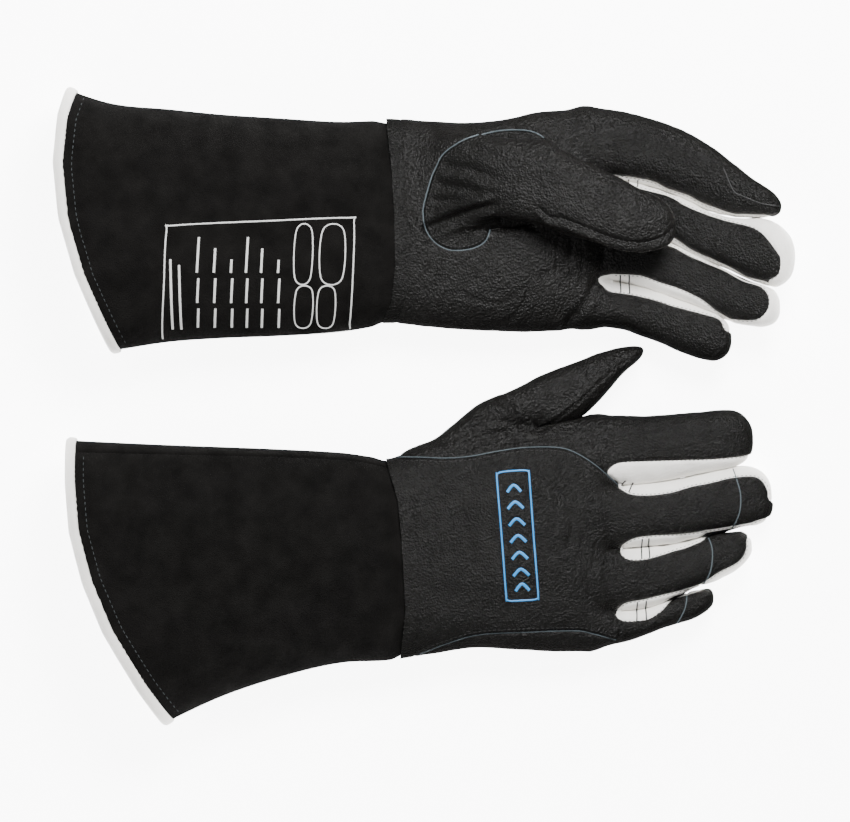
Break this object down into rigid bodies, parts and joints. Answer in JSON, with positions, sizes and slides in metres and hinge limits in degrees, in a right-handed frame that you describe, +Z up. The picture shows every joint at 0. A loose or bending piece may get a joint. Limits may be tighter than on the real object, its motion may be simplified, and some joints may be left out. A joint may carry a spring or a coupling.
{
  "type": "welding gloves, pair",
  "caption": "Pair of long-cuffed leather welding gloves lying flat, one back up and one palm up with its thumb folded over the palm.",
  "frame": {"origin": "on the resting surface, under the middle of the pair's bounding box", "axes": "+X from the cuffs to the fingertips, +Y towards the thumb side of both gloves, +Z up from the resting surface"},
  "size_m": [0.3967, 0.3427, 0.0657],
  "materials": {
    "grain_leather": "satin",
    "split_leather": "matte",
    "white_leather": "matte",
    "padding": "matte"
  },
  "bodies": {
    "right_hand": {"right_hand_back": "grain_leather", "right_hand_palm": "grain_leather", "right_palm_pad": "padding", "right_thumb_wing": "grain_leather"},
    "right_cuff": {"right_cuff_back_panel": "split_leather", "right_cuff_palm_panel": "split_leather", "right_cuff_binding": "white_leather"},
    "right_index": {"right_index_wrap": "grain_leather", "right_index_side_strip": "white_leather"},
    "right_middle": {"right_middle_back": "grain_leather", "right_middle_tip_cap": "grain_leather", "right_middle_palm": "grain_leather", "right_middle_side_strip": "white_leather"},
    "right_ring": {"right_ring_back": "grain_leather", "right_ring_tip_cap": "grain_leather", "right_ring_palm": "grain_leather", "right_ring_side_strip": "white_leather"},
    "right_little": {"right_little_back": "grain_leather", "right_little_tip_cap": "grain_leather", "right_little_palm": "grain_leather", "right_little_side_strip": "white_leather"},
    "right_thumb": {"right_thumb_back": "grain_leather", "right_thumb_front": "grain_leather"},
    "left_hand": {"left_hand_back": "grain_leather", "left_hand_palm": "grain_leather", "left_palm_pad": "padding", "left_thumb_wing": "grain_leather"},
    "left_cuff": {"left_cuff_back_panel": "split_leather", "left_cuff_palm_panel": "split_leather", "left_cuff_binding": "white_leather"},
    "left_index": {"left_index_wrap": "grain_leather", "left_index_side_strip": "white_leather"},
    "left_middle": {"left_middle_back": "grain_leather", "left_middle_tip_cap": "grain_leather", "left_middle_palm": "grain_leather", "left_middle_side_strip": "white_leather"},
    "left_ring": {"left_ring_back": "grain_leather", "left_ring_tip_cap": "grain_leather", "left_ring_palm": "grain_leather", "left_ring_side_strip": "white_leather"},
    "left_little": {"left_little_back": "grain_leather", "left_little_tip_cap": "grain_leather", "left_little_palm": "grain_leather", "left_little_side_strip": "white_leather"},
    "left_thumb": {"left_thumb_back": "grain_leather", "left_thumb_front": "grain_leather"}
  },
  "joints": [
    {"name": "right_wrist", "type": "hinge", "parent": "right_hand", "child": "right_cuff", "pos_m": [-0.0175, -0.08263, 0.02049], "axis": [0, 1, 0], "range_deg": [-20, 20]},
    {"name": "right_index_knuckle", "type": "hinge", "parent": "right_hand", "child": "right_index", "pos_m": [0.113, -0.02249, 0.01587], "axis": [0, 1, 0], "range_deg": [-10, 50]},
    {"name": "right_middle_knuckle", "type": "hinge", "parent": "right_hand", "child": "right_middle", "pos_m": [0.113, -0.05909, 0.01615], "axis": [0, 1, 0], "range_deg": [-10, 50]},
    {"name": "right_ring_knuckle", "type": "hinge", "parent": "right_hand", "child": "right_ring", "pos_m": [0.113, -0.09144, 0.01585], "axis": [0, 1, 0], "range_deg": [-10, 50]},
    {"name": "right_little_knuckle", "type": "hinge", "parent": "right_hand", "child": "right_little", "pos_m": [0.113, -0.11784, 0.01463], "axis": [0, 1, 0], "range_deg": [-10, 50]},
    {"name": "right_thumb_base", "type": "hinge", "parent": "right_hand", "child": "right_thumb", "pos_m": [0.04876, -0.00549, 0.01892], "axis": [-0.4264, 0.9045, 0], "range_deg": [-10, 45]},
    {"name": "left_glove_lift", "type": "slide", "parent": "right_hand", "child": "left_hand", "axis": [0, 0, 1], "range_m": [0, 0.3]},
    {"name": "left_wrist", "type": "hinge", "parent": "left_hand", "child": "left_cuff", "pos_m": [-0.0175, 0.09951, 0.02049], "axis": [0, 1, 0], "range_deg": [-20, 20]},
    {"name": "left_index_knuckle", "type": "hinge", "parent": "left_hand", "child": "left_index", "pos_m": [0.1085, 0.14013, 0.01555], "axis": [0, -1, 0], "range_deg": [-10, 50]},
    {"name": "left_middle_knuckle", "type": "hinge", "parent": "left_hand", "child": "left_middle", "pos_m": [0.1085, 0.10755, 0.01587], "axis": [0, -1, 0], "range_deg": [-10, 20]},
    {"name": "left_ring_knuckle", "type": "hinge", "parent": "left_hand", "child": "left_ring", "pos_m": [0.1085, 0.07739, 0.01598], "axis": [0, -1, 0], "range_deg": [-10, 50]},
    {"name": "left_little_knuckle", "type": "hinge", "parent": "left_hand", "child": "left_little", "pos_m": [0.1085, 0.05149, 0.01547], "axis": [0, -1, 0], "range_deg": [-10, 50]},
    {"name": "left_thumb_base", "type": "hinge", "parent": "left_hand", "child": "left_thumb", "pos_m": [0.03647, 0.12024, 0.04938], "axis": [-0.088, -0.9961, 0], "range_deg": [0, 45]}
  ]
}
